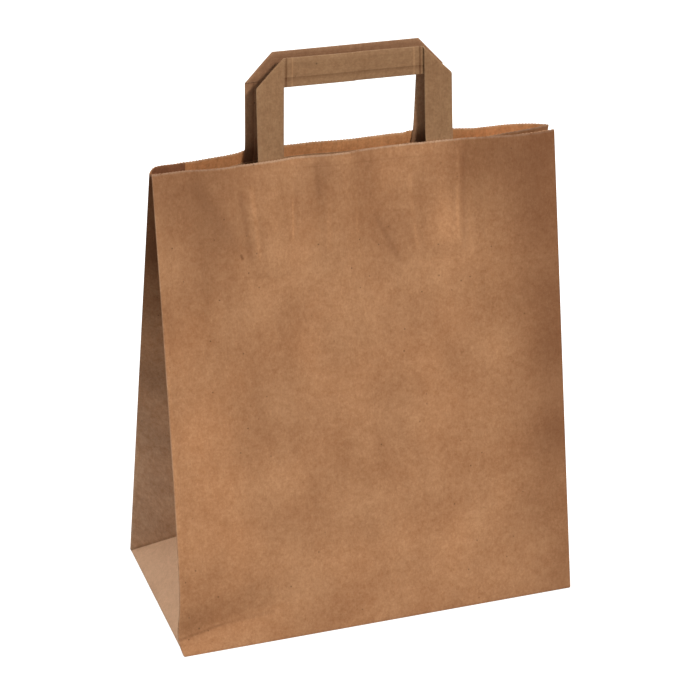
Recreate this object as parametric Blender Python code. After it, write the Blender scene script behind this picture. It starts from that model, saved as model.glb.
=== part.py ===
"""Kraft paper carrier bag with a block bottom, side gussets and two flat paper handles.

The bag stands opened on its base. X runs along its width, Y from the front panel to the
rear panel, Z up, and the origin is the middle of the underside. All sizes are in metres.
"""
import math

import bmesh
import bpy
from mathutils import Vector

# Bag: the opened base, and a panel's length from its bottom fold to its cut edge
BAG_WIDTH = 0.260
BAG_DEPTH = 0.138
PANEL_LENGTH = 0.302
PAPER = 0.0002
FOLD_ROUND = 0.0010

# Mouth: how far the panels stand out from the middle plane at the side folds, between
# the handle legs, and at the wave beside them
MOUTH_END_OUT = 0.0055
FRONT_MIDDLE_OUT = -0.0005
FRONT_WAVE_OUT = 0.0085
REAR_MIDDLE_OUT = 0.0140
REAR_WAVE_OUT = 0.0095
WAVE_PLACE = 0.50

# Toothed edge that the bag machine's knife leaves
TOOTH_PITCH = 0.0026
TOOTH_HEIGHT = 0.0006
EDGE_BAND = 0.006

# Glue laps: the long seam inside the rear panel, and the outer flap of the bottom
SEAM_WIDTH = 0.020
BOTTOM_LAP = 0.012
LAP_SETBACK = 0.0015

# Handles, each a strip folded from paper tape, with a corner folded at 45 degrees at
# each end of the grip. One ply of the strip stops short, and its raw edge shows.
STRIP_WIDTH = 0.018
STRIP_THICKNESS = 0.0008
STRIP_PLY = 0.00015
STRIP_PLY_WIDTH = 0.012
HANDLE_SPAN = 0.126
HANDLE_RISE = 0.061
HANDLE_HOLD = 0.063
RIM_BEND = 0.008
FRONT_HANDLE_LEAN_DEGREES = 2.9
REAR_HANDLE_LEAN_DEGREES = -3.7
FRONT_HANDLE_SHIFT = 0.0
REAR_HANDLE_SHIFT = -0.003

# Reinforcing patches, glued inside the panels over the legs of the handles
PATCH_DROP = 0.008
PATCH_MARGIN = 0.010
PATCH_DRAPE = 0.003
LEG_CLEARANCE = 0.0005

GLUE_GAP = 0.0003
MERGE = 0.00001

FRONT = -1
REAR = 1
LEFT = -1
RIGHT = 1
MIDDLE_OUT = {FRONT: FRONT_MIDDLE_OUT, REAR: REAR_MIDDLE_OUT}
WAVE_OUT = {FRONT: FRONT_WAVE_OUT, REAR: REAR_WAVE_OUT}
HANDLE_LEAN = {FRONT: math.radians(FRONT_HANDLE_LEAN_DEGREES),
               REAR: math.radians(REAR_HANDLE_LEAN_DEGREES)}
HANDLE_SHIFT = {FRONT: FRONT_HANDLE_SHIFT, REAR: REAR_HANDLE_SHIFT}

HALF_WIDTH = BAG_WIDTH / 2
HALF_DEPTH = BAG_DEPTH / 2
HALF_SPAN = HANDLE_SPAN / 2
PATCH_HALF = HALF_SPAN + PATCH_MARGIN
FLAT_HALF = PATCH_HALF + max(abs(shift) for shift in HANDLE_SHIFT.values())

# Insets from a panel's outer face of the strip's two faces and of its short ply
STRIP_NEAR = PAPER + GLUE_GAP
STRIP_FAR = STRIP_NEAR + STRIP_THICKNESS
PLY_FAR = STRIP_FAR + STRIP_PLY

KRAFT = (0.42, 0.22, 0.11)
KRAFT_HANDLE = (0.33, 0.19, 0.10)
KRAFT_PATCH = (0.45, 0.26, 0.14)


def ease(share):
    share = min(max(share, 0.0), 1.0)
    return share * share * (3 - 2 * share)


def spread(start, end, steps):
    """Evenly spaced values from start to end."""
    return [start + (end - start) * i / steps for i in range(steps + 1)]


def mouth_out(side, x):
    """How far a panel's cut edge stands out from the middle plane. It is straight where
    the patch stiffens it, and waves towards the side folds."""
    past = (abs(x) - FLAT_HALF) / (HALF_WIDTH - FLAT_HALF)
    if past <= WAVE_PLACE:
        share = ease(past / WAVE_PLACE)
        return MIDDLE_OUT[side] + (WAVE_OUT[side] - MIDDLE_OUT[side]) * share
    share = ease((past - WAVE_PLACE) / (1 - WAVE_PLACE))
    return WAVE_OUT[side] + (MOUTH_END_OUT - WAVE_OUT[side]) * share


def panel_lean(side, x):
    """Angle from upright at which a panel leans in, along a straight line up the paper."""
    return math.asin((HALF_DEPTH - mouth_out(side, x)) / PANEL_LENGTH)


def panel_point(side, x, up, inset=0.0):
    """Point on a panel, up the paper from its bottom fold, inset from its outer face."""
    lean = panel_lean(side, x)
    out = HALF_DEPTH - up * math.sin(lean) - inset * math.cos(lean)
    return Vector((x, side * out, PAPER + up * math.cos(lean) - inset * math.sin(lean)))


# Gussets: each side folds in along a crease that forks at the foot into two diagonals
EDGE_LEAN = math.asin((HALF_DEPTH - MOUTH_END_OUT) / PANEL_LENGTH)
FOOT_TILT = math.asin((1 - math.sin(EDGE_LEAN)) / math.cos(EDGE_LEAN))
FORK_DEPTH = HALF_DEPTH * math.cos(FOOT_TILT)
FORK_HEIGHT = PAPER + HALF_DEPTH * math.sin(FOOT_TILT)
CREASE_LENGTH = PANEL_LENGTH - HALF_DEPTH
CREASE_TOP_Y = (REAR_MIDDLE_OUT - FRONT_MIDDLE_OUT) / 2
CREASE_TOP_DEPTH = math.sqrt(HALF_DEPTH ** 2 - (CREASE_TOP_Y ** 2 + MOUTH_END_OUT ** 2))
CREASE_TOP_HEIGHT = FORK_HEIGHT + math.sqrt(
    CREASE_LENGTH ** 2 - (CREASE_TOP_DEPTH - FORK_DEPTH) ** 2 - CREASE_TOP_Y ** 2)


def gusset_edge(side, end, up):
    """Point on a gusset beside its fold to a panel."""
    point = panel_point(side, end * HALF_WIDTH, up)
    return point - Vector((0, side * FOLD_ROUND, 0))


def gusset_inner(side, end, up):
    """Point on the crease, or under the fork on the diagonal, that a gusset half meets."""
    fork = Vector((end * (HALF_WIDTH - FORK_DEPTH), side * FOLD_ROUND, FORK_HEIGHT))
    if up < HALF_DEPTH:
        return gusset_edge(side, end, 0).lerp(fork, up / HALF_DEPTH)
    top = Vector((end * (HALF_WIDTH - CREASE_TOP_DEPTH), CREASE_TOP_Y + side * FOLD_ROUND,
                  CREASE_TOP_HEIGHT))
    return fork.lerp(top, (up - HALF_DEPTH) / CREASE_LENGTH)


def gusset_point(side, end, share, up):
    return gusset_edge(side, end, up).lerp(gusset_inner(side, end, up), share)


def add_face(built, points):
    """A face through the points, with points that coincide taken once."""
    ring = [p for i, p in enumerate(points) if (p - points[i - 1]).length > MERGE]
    built.faces.new([built.verts.new(p) for p in ring])


def add_grid(built, place, columns, rows):
    """Faces of the surface place(column, row) between the columns and rows given."""
    for low, high in zip(rows, rows[1:]):
        for left, right in zip(columns, columns[1:]):
            corners = [(left, low), (right, low), (right, high), (left, high)]
            add_face(built, [place(*corner) for corner in corners])


def add_cut_edge(built, place, columns):
    """The band under the mouth's cut edge, whose teeth rise and fall between columns."""
    band = PANEL_LENGTH - EDGE_BAND
    for left, right in zip(columns, columns[1:]):
        width = (place(right, PANEL_LENGTH) - place(left, PANEL_LENGTH)).length
        steps = 2 * round(width / TOOTH_PITCH) or 1
        heights = [PANEL_LENGTH - TOOTH_HEIGHT * (1 - i % 2) for i in range(steps + 1)]
        heights[-1] = PANEL_LENGTH - TOOTH_HEIGHT
        edge = [place(c, up) for c, up in zip(spread(left, right, steps), heights)]
        add_face(built, [place(left, band), place(right, band)] + edge[::-1])


def plate(rows, near, far):
    """A closed flat piece in the handle's own plane: rows of (height, left, right)."""
    built = bmesh.new()
    for depth in (near, far):
        for (low, l0, r0), (high, l1, r1) in zip(rows, rows[1:]):
            ring = [(l0, low), (r0, low), (r1, high), (l1, high)]
            add_face(built, [Vector((u, v, depth)) for u, v in ring])
    outline = [(l, v) for v, l, r in rows] + [(r, v) for v, l, r in reversed(rows)]
    outline = [p for i, p in enumerate(outline) if p != outline[i - 1]]
    for i, (u, v) in enumerate(outline):
        u0, v0 = outline[i - 1]
        add_face(built, [Vector((u0, v0, near)), Vector((u, v, near)),
                         Vector((u, v, far)), Vector((u0, v0, far))])
    return built


def curved_slab(place, columns, rows, near, far):
    """A closed sheet between the insets near(column, row) and far(column, row)."""
    built = bmesh.new()
    for inset in (near, far):
        add_grid(built, lambda c, r: place(c, r, inset(c, r)), columns, rows)
    outline = [(c, rows[0]) for c in columns] + [(columns[-1], r) for r in rows[1:]]
    outline += [(c, rows[-1]) for c in columns[-2::-1]]
    outline += [(columns[0], r) for r in rows[-2:0:-1]]
    for i, (c, r) in enumerate(outline):
        c0, r0 = outline[i - 1]
        add_face(built, [place(c0, r0, near(c0, r0)), place(c, r, near(c, r)),
                         place(c, r, far(c, r)), place(c0, r0, far(c0, r0))])
    return built


def paper_material(name, color):
    material = bpy.data.materials.new(name)
    material.use_nodes = True
    shader = material.node_tree.nodes["Principled BSDF"]
    shader.inputs["Base Color"].default_value = (*color, 1)
    shader.inputs["Roughness"].default_value = 0.85
    shader.inputs["Metallic"].default_value = 0.0
    return material


def make_object(name, built, color):
    """An object of the faces given, merged where they meet and facing out."""
    bmesh.ops.remove_doubles(built, verts=built.verts, dist=MERGE)
    bmesh.ops.recalc_face_normals(built, faces=built.faces)
    mesh = bpy.data.meshes.new(name)
    built.to_mesh(mesh)
    built.free()
    mesh.materials.append(paper_material(name, color))
    obj = bpy.data.objects.new(name, mesh)
    bpy.context.scene.collection.objects.link(obj)
    return obj


def join_piece(obj, piece):
    """Glue a piece onto an object, so that the two are one solid."""
    piece.hide_render = True
    piece.display_type = "WIRE"
    union = obj.modifiers.new(piece.name, "BOOLEAN")
    union.operation = "UNION"
    union.object = piece


def panel_columns(side):
    """Places across a panel: close together in the waves, wide apart where it is flat."""
    edge = HALF_WIDTH - FOLD_ROUND
    wave = spread(edge, FLAT_HALF, 8)
    flat = spread(-FLAT_HALF, FLAT_HALF, 6)
    return [-x for x in wave] + flat[1:-1] + wave[::-1]


def seam_lap():
    """The tube's glued edge: a second ply inside the rear panel, beside its left fold."""
    columns = spread(-HALF_WIDTH + LAP_SETBACK, -HALF_WIDTH + SEAM_WIDTH, 4)
    rows = spread(LAP_SETBACK, PANEL_LENGTH - LAP_SETBACK, 8)
    built = curved_slab(lambda x, up, inset: panel_point(REAR, x, up, inset),
                        columns, rows, lambda x, up: PAPER / 2, lambda x, up: 2 * PAPER)
    return make_object("seam_lap", built, KRAFT)


def bottom_flap():
    """The outer flap of the bottom, from the rear fold to past the middle, its ends
    folded at 45 degrees."""
    length = HALF_DEPTH + BOTTOM_LAP
    tip = HALF_WIDTH - length
    root = HALF_WIDTH - LAP_SETBACK
    built = plate([(-BOTTOM_LAP, -tip, tip), (HALF_DEPTH - LAP_SETBACK, -root, root)],
                  0, PAPER * 1.5)
    return make_object("bottom_flap", built, KRAFT)


def bag_body():
    """The bag: one sheet folded into a tube with gussets and a flat bottom."""
    built = bmesh.new()
    foot_rows = spread(0, HALF_DEPTH, 4)
    rows = foot_rows + spread(HALF_DEPTH, PANEL_LENGTH - EDGE_BAND, 7)[1:]
    crease_rows = rows[len(foot_rows) - 1:]
    shares = spread(0, 1, 5)

    for side in (FRONT, REAR):
        def on_panel(x, up):
            return panel_point(side, x, up)

        add_grid(built, on_panel, panel_columns(side), rows)
        add_cut_edge(built, on_panel, panel_columns(side))

        for end in (LEFT, RIGHT):
            def on_gusset(share, up):
                return gusset_point(side, end, share, up)

            def on_fold(share, up):
                start = panel_point(side, end * (HALF_WIDTH - FOLD_ROUND), up)
                return start.lerp(gusset_edge(side, end, up), share)

            add_grid(built, on_gusset, shares, rows)
            add_cut_edge(built, on_gusset, shares)
            add_grid(built, on_fold, [0, 1], rows)
            add_cut_edge(built, on_fold, [0, 1])

    for end in (LEFT, RIGHT):
        def on_crease(share, up):
            return gusset_inner(FRONT, end, up).lerp(gusset_inner(REAR, end, up), share)

        add_grid(built, on_crease, [0, 1], crease_rows)
        add_cut_edge(built, on_crease, [0, 1])
        add_face(built, [gusset_inner(FRONT, end, up) for up in foot_rows]
                 + [gusset_inner(REAR, end, up) for up in reversed(foot_rows)])

    bottom = [panel_point(FRONT, x, 0) for x in panel_columns(FRONT)]
    bottom += [gusset_edge(FRONT, RIGHT, 0), gusset_edge(REAR, RIGHT, 0)]
    bottom += [panel_point(REAR, x, 0) for x in reversed(panel_columns(REAR))]
    bottom += [gusset_edge(REAR, LEFT, 0), gusset_edge(FRONT, LEFT, 0)]
    add_face(built, bottom)

    bag = make_object("bag_body", built, KRAFT)
    underside = min(bag.data.polygons, key=lambda face: face.center.z)
    if underside.normal.z > 0:
        bag.data.flip_normals()
    wall = bag.modifiers.new("paper", "SOLIDIFY")
    wall.thickness = PAPER
    wall.offset = -1
    wall.use_even_offset = True
    join_piece(bag, seam_lap())
    join_piece(bag, bottom_flap())
    return bag


def strip_point(side, across, height, inset):
    """Point on a handle. Its legs lie along the panel up to the rim, bend over a short
    arc there, and stand nearly upright."""
    x = across + HANDLE_SHIFT[side]
    if height <= 0:
        return panel_point(side, x, PANEL_LENGTH + height, inset)
    lean = panel_lean(side, x)
    turn = (HANDLE_LEAN[side] - lean) / RIM_BEND
    arc = min(height, RIM_BEND)
    angle = lean + turn * arc
    inward = (math.cos(lean) - math.cos(angle)) / turn
    rise = (math.sin(angle) - math.sin(lean)) / turn
    inward += (height - arc) * math.sin(angle) + inset * math.cos(angle)
    rise += (height - arc) * math.cos(angle) - inset * math.sin(angle)
    rim = panel_point(side, x, PANEL_LENGTH)
    return rim + Vector((0, -side * inward, rise))


def handle(name, side):
    """One strip: two legs, and a grip folded across behind them at 45 degrees."""
    corner = HANDLE_RISE - STRIP_WIDTH
    inner = HALF_SPAN - STRIP_WIDTH
    fuse = STRIP_THICKNESS / 4
    heights = [-HANDLE_HOLD] + spread(0, RIM_BEND, 4) + [corner]
    plates = []
    for end in (LEFT, RIGHT):
        edges = sorted((end * inner, end * HALF_SPAN))
        leg = [(v, *edges) for v in heights] + [(HANDLE_RISE, end * inner, end * inner)]
        plates.append(plate(leg, STRIP_NEAR, STRIP_FAR))
        edges = sorted((end * inner, end * (inner + STRIP_PLY_WIDTH)))
        ply = [(v, *edges) for v in heights[:-1] + [corner + fuse]]
        plates.append(plate(ply, STRIP_FAR - fuse, PLY_FAR))
    plates.append(plate([(corner, -HALF_SPAN, HALF_SPAN), (HANDLE_RISE, -inner, inner)],
                        STRIP_FAR - fuse, STRIP_FAR + STRIP_THICKNESS))
    reach = inner + fuse
    plates.append(plate([(HANDLE_RISE - STRIP_PLY_WIDTH, -reach, reach),
                         (HANDLE_RISE - fuse, -reach, reach)],
                        STRIP_FAR - fuse - STRIP_PLY, STRIP_FAR))

    pieces = [make_object(f"{name}_{i}", built, KRAFT_HANDLE)
              for i, built in enumerate(plates)]
    flat = pieces[0]
    for piece in pieces[1:]:
        join_piece(flat, piece)
    bpy.context.view_layer.update()
    graph = bpy.context.evaluated_depsgraph_get()
    built = bmesh.new()
    built.from_mesh(bpy.data.meshes.new_from_object(flat.evaluated_get(graph)))
    for piece in pieces:
        bpy.data.objects.remove(piece)
    for vert in built.verts:
        across, height, inset = vert.co
        vert.co = strip_point(side, across, height, inset)
    return make_object(name, built, KRAFT_HANDLE)


def patch(name, side):
    """A paper patch glued to the panel, draped over the two legs that it holds."""
    foot = PANEL_LENGTH - HANDLE_HOLD - LEG_CLEARANCE
    legs = (HALF_SPAN - STRIP_WIDTH - LEG_CLEARANCE, HALF_SPAN + LEG_CLEARANCE)
    half = [legs[0] - PATCH_DRAPE, *legs, legs[1] + PATCH_DRAPE, PATCH_HALF]
    columns = [-x for x in reversed(half)] + half
    rows = [PANEL_LENGTH - HANDLE_HOLD - PATCH_MARGIN, foot - PATCH_DRAPE, foot,
            PANEL_LENGTH - PATCH_DROP]

    def near(x, up):
        over_leg = legs[0] <= abs(x) <= legs[1] and up >= foot
        return PLY_FAR + GLUE_GAP if over_leg else PAPER + GLUE_GAP

    built = curved_slab(
        lambda x, up, inset: panel_point(side, x + HANDLE_SHIFT[side], up, inset),
        columns, rows, near, lambda x, up: near(x, up) + PAPER)
    return make_object(name, built, KRAFT_PATCH)


for old in list(bpy.data.objects):
    bpy.data.objects.remove(old)

bag_body()
handle("front_handle", FRONT)
handle("rear_handle", REAR)
patch("front_patch", FRONT)
patch("rear_patch", REAR)
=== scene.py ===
"""Kraft paper carrier bag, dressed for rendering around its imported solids.

Everything is in metres. X runs along the bag's width, Y from the front panel to the rear
panel, and Z up from the surface that the bag stands on.
"""

import math

import bpy
from mathutils import Matrix, Vector, noise


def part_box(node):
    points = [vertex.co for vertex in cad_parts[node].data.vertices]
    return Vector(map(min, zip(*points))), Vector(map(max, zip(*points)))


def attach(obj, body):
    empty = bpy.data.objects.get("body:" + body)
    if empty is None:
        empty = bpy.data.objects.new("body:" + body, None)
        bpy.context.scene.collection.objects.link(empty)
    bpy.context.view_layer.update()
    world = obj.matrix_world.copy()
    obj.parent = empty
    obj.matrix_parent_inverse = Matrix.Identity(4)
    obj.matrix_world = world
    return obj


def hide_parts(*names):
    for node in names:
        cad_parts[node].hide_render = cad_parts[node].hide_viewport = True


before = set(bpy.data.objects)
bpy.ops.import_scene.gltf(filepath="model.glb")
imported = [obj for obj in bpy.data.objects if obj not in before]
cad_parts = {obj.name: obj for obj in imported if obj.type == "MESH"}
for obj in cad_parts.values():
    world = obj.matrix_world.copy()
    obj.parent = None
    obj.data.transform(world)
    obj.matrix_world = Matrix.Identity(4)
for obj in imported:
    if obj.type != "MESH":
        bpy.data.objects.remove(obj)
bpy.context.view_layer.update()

# The view. A long lens looks down on the bag from the left of its front panel, as in a
# catalogue picture.
VIEW_PLACE = (-0.46141, -1.23339, 0.78461)
VIEW_YAW = math.radians(20.454)
VIEW_PITCH = math.radians(25.369)
VIEW_ROLL = math.radians(1.090)
VIEW_LENS = 118.72

lens = bpy.data.cameras.new("camera")
lens.lens = VIEW_LENS
lens.clip_start = 0.05
camera = bpy.data.objects.new("camera", lens)
bpy.context.scene.collection.objects.link(camera)
bpy.context.scene.camera = camera
camera.matrix_world = (
    Matrix.Translation(VIEW_PLACE)
    @ Matrix.Rotation(-VIEW_YAW, 4, "Z")
    @ Matrix.Rotation(math.pi / 2 - VIEW_PITCH, 4, "X")
    @ Matrix.Rotation(VIEW_ROLL, 4, "Z"))

# The bag's sheet. One web of brown kraft is folded into a tube with a gusset in each side,
# glued along a lap inside the rear panel, and closed by a flat folded bottom. A toothed
# knife cuts it off at the mouth, and it has buckled a little since it was opened.
FRONT = -1
REAR = 1
LEFT = -1
RIGHT = 1
HALF_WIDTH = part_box("bag_body")[1].x
HALF_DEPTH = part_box("bag_body")[1].y
PANEL_LENGTH = 0.302
PAPER = 0.0002
FOLD = 0.0008
CREASE = 0.0004
GUSSET_CELLS = 26
PANEL_CELLS = 130
UPPER_CELLS = 82
FOLD_CELLS = 3
TOOTH = 0.0004

# The cut edge seen from above: (x, y) in millimetres, left to right
RIM = {
    FRONT: ((-130, -6.7), (-117, -4.9), (-107, -4.7), (-97, -8.0), (-86, -9.5), (-71, -5.8),
            (-61, -3.6), (-52, -2.2), (-43, 1.3), (-30, 0.4), (-10, -2.9), (7, 2.3), (39, 5.3),
            (67, 4.0), (94, -5.8), (116, -7.0), (130, -4.7)),
    REAR: ((-130, -0.5), (-127.5, 3.5), (-124, 6.4), (-111, 7.3), (-93, 8.8), (-80, 10.2),
           (-67, 12.5), (-40, 14.5), (-4, 13.3), (42, 14.5), (69, 11.9), (83, 9.7),
           (101, 9.9), (113, 9.3), (126, 6.5), (130, 5.0)),
}

# How far the front left fold has bulged outwards: (height up the paper, move along X),
# millimetres
LEFT_FOLD_BULGE = ((0, -2.4), (6, -4.0), (15, -4.6), (30, -3.2), (46, -2.2), (100, -1.1),
                   (200, -0.3), (302, 0))
BULGE_REACH = 0.040

# Soft buckles: (panel, x, up, half length along x, half length up, height), millimetres
BUCKLES = (
    (FRONT, -60, 90, 45, 60, 0.8),
    (FRONT, 30, 150, 30, 70, 0.7),
    (FRONT, 90, 190, 18, 60, -0.9),
    (FRONT, -15, 215, 14, 45, -0.5),
    (FRONT, -85, 225, 16, 30, -0.8),
    (FRONT, 60, 60, 40, 30, 0.6),
    (FRONT, -71, 262, 3.5, 24, 1.0),
    (FRONT, -22, 272, 5.5, 34, 0.9),
    (FRONT, 4, 276, 6, 30, -0.8),
    (FRONT, 27, 250, 8, 44, 0.9),
    (FRONT, -50, 205, 8, 30, 0.8),
    (FRONT, -94, 150, 12, 60, 1.6),
    (FRONT, -66, 120, 9, 50, -1.2),
    (FRONT, 2, 120, 14, 50, 1.3),
    (FRONT, 78, 110, 16, 50, 1.5),
    (FRONT, 74, 262, 7, 40, -1.2),
    (REAR, -50, 120, 50, 60, 1.0),
    (REAR, 60, 80, 40, 50, 0.8),
    (REAR, 20, 210, 30, 50, -0.8),
)
BUCKLE_EDGE = 0.022
BUCKLE_FOOT = 0.015

# Fine waves over both panels: (height, length, seed)
RIPPLES = ((0.00045, 0.022, 3), (0.00016, 0.009, 9))

# A panel sags between its folds: depth, reach from the fold, reach up from the bottom, the
# stretch beside the fold that stays straight, and reach down from the mouth
SAG_DEPTH = {LEFT: 0.0006, RIGHT: 0.0014}
SAG_REACH = {LEFT: 0.024, RIGHT: 0.026}
SAG_FOOT = {LEFT: 0.040, RIGHT: 0.060}
SAG_EDGE = {LEFT: 0.010, RIGHT: 0.012}
SAG_MOUTH = 0.060


def through(points, x):
    """The value at x of a smooth line through (x, value) points."""
    last = len(points) - 1
    x = min(max(x, points[0][0]), points[last][0])
    i = max(k for k in range(last) if points[k][0] <= x)

    def slope(k):
        before, after = points[max(k - 1, 0)], points[min(k + 1, last)]
        return (after[1] - before[1]) / (after[0] - before[0])

    (x0, y0), (x1, y1) = points[i], points[i + 1]
    run = x1 - x0
    t = (x - x0) / run
    return (y0 * (1 + 2 * t) * (1 - t) ** 2 + slope(i) * run * t * (1 - t) ** 2
            + y1 * t * t * (3 - 2 * t) - slope(i + 1) * run * t * t * (1 - t))


def ease(share):
    share = min(max(share, 0.0), 1.0)
    return share * share * (3 - 2 * share)


def ramp(value, start, end):
    """Rises smoothly from 0 at start to 1 at end."""
    return ease((value - start) / (end - start))


def soft_spot(x, up, spot):
    """1 in the middle of a spot given in millimetres, fading to 0 outside it."""
    middle_x, middle_up, reach_x, reach_up = spot
    away = (x * 1000 - middle_x) / reach_x
    above = (up * 1000 - middle_up) / reach_up
    return math.exp(-(away ** 2 + above ** 2))


def rim_y(side, x):
    return through(RIM[side], x * 1000) / 1000


def ripple(place, length, seed):
    """Slow random waves of about that length, from -1 to 1."""
    return noise.noise(place / length + Vector((seed, 0, 0))) * 2


# The legs of the handles are felt through the panels: the stretch that each one lifts.
# The patch over them is felt too, from its top edge down.
LEG_MARKS = {FRONT: ((-0.074, -0.0395), (0.040, 0.0715)),
             REAR: ((-0.071, -0.0435), (0.036, 0.064))}
LEG_MARK_LIFT = 0.0011
LEG_MARK_END = 0.066
LEG_MARK_FADE = 0.006
LEG_MARK_SLOPE = 0.004
PATCH_LINE = 0.008
PATCH_LINE_SLOPE = 0.001
PATCH_MARK_LIFT = 0.0003
PATCH_MARK_SIDE = 0.076
PATCH_MARK_SLOPE = 0.006


def leg_mark(side, x, drop):
    """How far the legs and the patch under the paper push a panel out."""
    lift = 0.0
    for start, end in LEG_MARKS[side]:
        across = ramp(x, start, start + LEG_MARK_SLOPE) * ramp(-x, -end, -end + LEG_MARK_SLOPE)
        ended = ramp(drop, LEG_MARK_END, LEG_MARK_END + LEG_MARK_FADE)
        lift += LEG_MARK_LIFT * across * (1 - ended)
    inside = PATCH_MARK_SIDE - abs(x)
    below = ramp(drop, PATCH_LINE - PATCH_LINE_SLOPE, PATCH_LINE + PATCH_LINE_SLOPE)
    return lift + PATCH_MARK_LIFT * ramp(inside, 0, PATCH_MARK_SLOPE) * below


# Handling has pressed a crease into the front panel's lower left corner. It rises and
# fades from the left fold towards the middle.
DENT_HEIGHT = 0.0120
DENT_RISE = 0.19
DENT_DEPTH = 0.0032
DENT_REACH = 0.022
DENT_FULL_X = -0.105
DENT_END_X = -0.040


def dent(x):
    """Height of the crease at x, and its share of the full depth there."""
    share = 1 - ramp(x, DENT_FULL_X, DENT_END_X)
    return DENT_HEIGHT + DENT_RISE * (x + HALF_WIDTH), share


def buckle(side, x, up):
    """How far a panel stands out from its straight line up the paper."""
    drop = PANEL_LENGTH - up
    edges = ramp(up, 0, BUCKLE_FOOT)
    sag = 0.0
    straight = 1.0
    for end in (LEFT, RIGHT):
        from_fold = HALF_WIDTH - end * x
        edges *= ramp(from_fold, 0, BUCKLE_EDGE)
        sag += SAG_DEPTH[end] * ramp(from_fold, 0, SAG_REACH[end]) * ramp(up, 0, SAG_FOOT[end])
        straight *= ramp(from_fold, 0, SAG_EDGE[end])
    sag *= ramp(drop, 0, SAG_MOUTH) * straight
    soft = 0.0
    for place, *spot, height in BUCKLES:
        if place == side:
            soft += height / 1000 * soft_spot(x, up, spot)
    point = Vector((x, up * 0.4, side * 0.5))
    for height, length, seed in RIPPLES:
        soft += height * ripple(point, length, seed)
    out = (soft + leg_mark(side, x, drop)) * edges - sag
    if side == FRONT:
        crease, share = dent(x)
        press = up / crease if up < crease else 1 - ramp(up, crease, crease + DENT_REACH)
        out -= DENT_DEPTH * share * press
    return out


def panel_point(side, x, up, out=0.0):
    """Point on a panel, up the paper from its bottom fold."""
    lean = math.asin((HALF_DEPTH - side * rim_y(side, x)) / PANEL_LENGTH)
    y = HALF_DEPTH - up * math.sin(lean) + out * math.cos(lean)
    return Vector((x, side * y, PAPER + up * math.cos(lean) + out * math.sin(lean)))


def fold_bulge(side, end, up):
    if (side, end) != (FRONT, LEFT):
        return 0.0
    return through(LEFT_FOLD_BULGE, up * 1000) / 1000


def fold_corner(side, end, up):
    """Where a panel and its gusset would meet without the small round fold."""
    point = panel_point(side, end * HALF_WIDTH, up, buckle(side, end * HALF_WIDTH, up))
    point.x += fold_bulge(side, end, up)
    return point


def panel_face(side, x, up):
    """Point on a panel's outer face, with its buckles."""
    point = panel_point(side, x, up, buckle(side, x, up))
    end = LEFT if x < 0 else RIGHT
    point.x += fold_bulge(side, end, up) * (1 - ramp(HALF_WIDTH - abs(x), 0, BULGE_REACH))
    return point


# A gusset folds in along a crease, which forks at the foot into two diagonals. Between
# them and the bottom lies a triangle that leans in over the bottom.
FORK_DEPTH = 0.0465
FORK_HEIGHT = 0.0510
CREASE_TOP = {LEFT: Vector((-0.0615, 0.0050, 0.2880)), RIGHT: Vector((0.0615, 0.0085, 0.2880))}
GUSSET_WAVE = 0.0008
GUSSET_WAVE_LENGTH = 0.025
GUSSET_SAG = 0.0012
GUSSET_SAG_MOUTH = 0.1
GUSSET_STRAIGHT = 0.01
GUSSET_FREE = 0.08


def gusset_edge(side, end, up):
    return fold_corner(side, end, up) + Vector((0, -side * FOLD, 0))


def gusset_crease(side, end, up):
    """Point on the crease or, under the fork, on the diagonal."""
    fork = Vector((end * (HALF_WIDTH - FORK_DEPTH), side * CREASE, FORK_HEIGHT))
    if up < HALF_DEPTH:
        return gusset_edge(side, end, 0).lerp(fork, up / HALF_DEPTH)
    top = CREASE_TOP[end] + Vector((0, side * CREASE, 0))
    return fork.lerp(top, (up - HALF_DEPTH) / (PANEL_LENGTH - HALF_DEPTH))


def gusset_face(side, end, cell, row, up):
    """Point on half a gusset, cell by cell from its panel's fold to its crease."""
    if row < cell:
        foot = gusset_edge(side, end, 0)
        middle = (foot + gusset_edge(-side, end, 0)) / 2 + Vector((0, side * CREASE, 0))
        ground = foot.lerp(middle, cell / GUSSET_CELLS)
        diagonal = gusset_crease(side, end, HALF_DEPTH * cell / GUSSET_CELLS)
        return ground.lerp(diagonal, row / cell)
    share = cell / max(min(row, GUSSET_CELLS), 1)
    point = gusset_edge(side, end, up).lerp(gusset_crease(side, end, up), share)
    between = math.sin(math.pi * share) * ramp(up, GUSSET_STRAIGHT, GUSSET_FREE)
    spot = Vector((side * 0.5, up * 0.5, share * 0.06))
    wave = GUSSET_WAVE * ripple(spot, GUSSET_WAVE_LENGTH, end + 20)
    wave -= GUSSET_SAG * ramp(PANEL_LENGTH - up, 0, GUSSET_SAG_MOUTH)
    point.x += end * wave * between
    return point


def fold_face(side, end, share, up):
    """Point on the small round fold between a panel and its gusset."""
    start = panel_face(side, end * (HALF_WIDTH - FOLD), up)
    corner = fold_corner(side, end, up)
    finish = gusset_edge(side, end, up)
    return start.lerp(corner, share).lerp(corner.lerp(finish, share), share)


# Soft darker and lighter patches on the front panel. The last two are painted light under the
# crease of the dent and painted shade over it: (x, up, half length along x, half length up,
# change of tone), millimetres
TONE_PATCHES = (
    (-112, 300, 34, 34, -0.34),
    (-96, 255, 22, 42, -0.20),
    (92, 296, 26, 40, -0.36),
    (-22, 300, 7, 30, -0.26),
    (7, 296, 8, 34, -0.22),
    (24, 243, 14, 24, -0.17),
    (-76, 130, 12, 55, -0.10),
    (-50, 155, 10, 40, -0.10),
    (-104, 90, 34, 75, 0.14),
    (-92, 68, 14, 20, 0.08),
    (-50, 248, 14, 26, 0.07),
    (58, 243, 14, 26, 0.12),
    (-38, 190, 10, 26, 0.07),
    (-112, 150, 16, 50, 0.08),
    (50, 52, 18, 18, 0.08),
    (-122, 4, 20, 7, 0.10),
    (-120, 20, 12, 9, -0.12),
)
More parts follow.
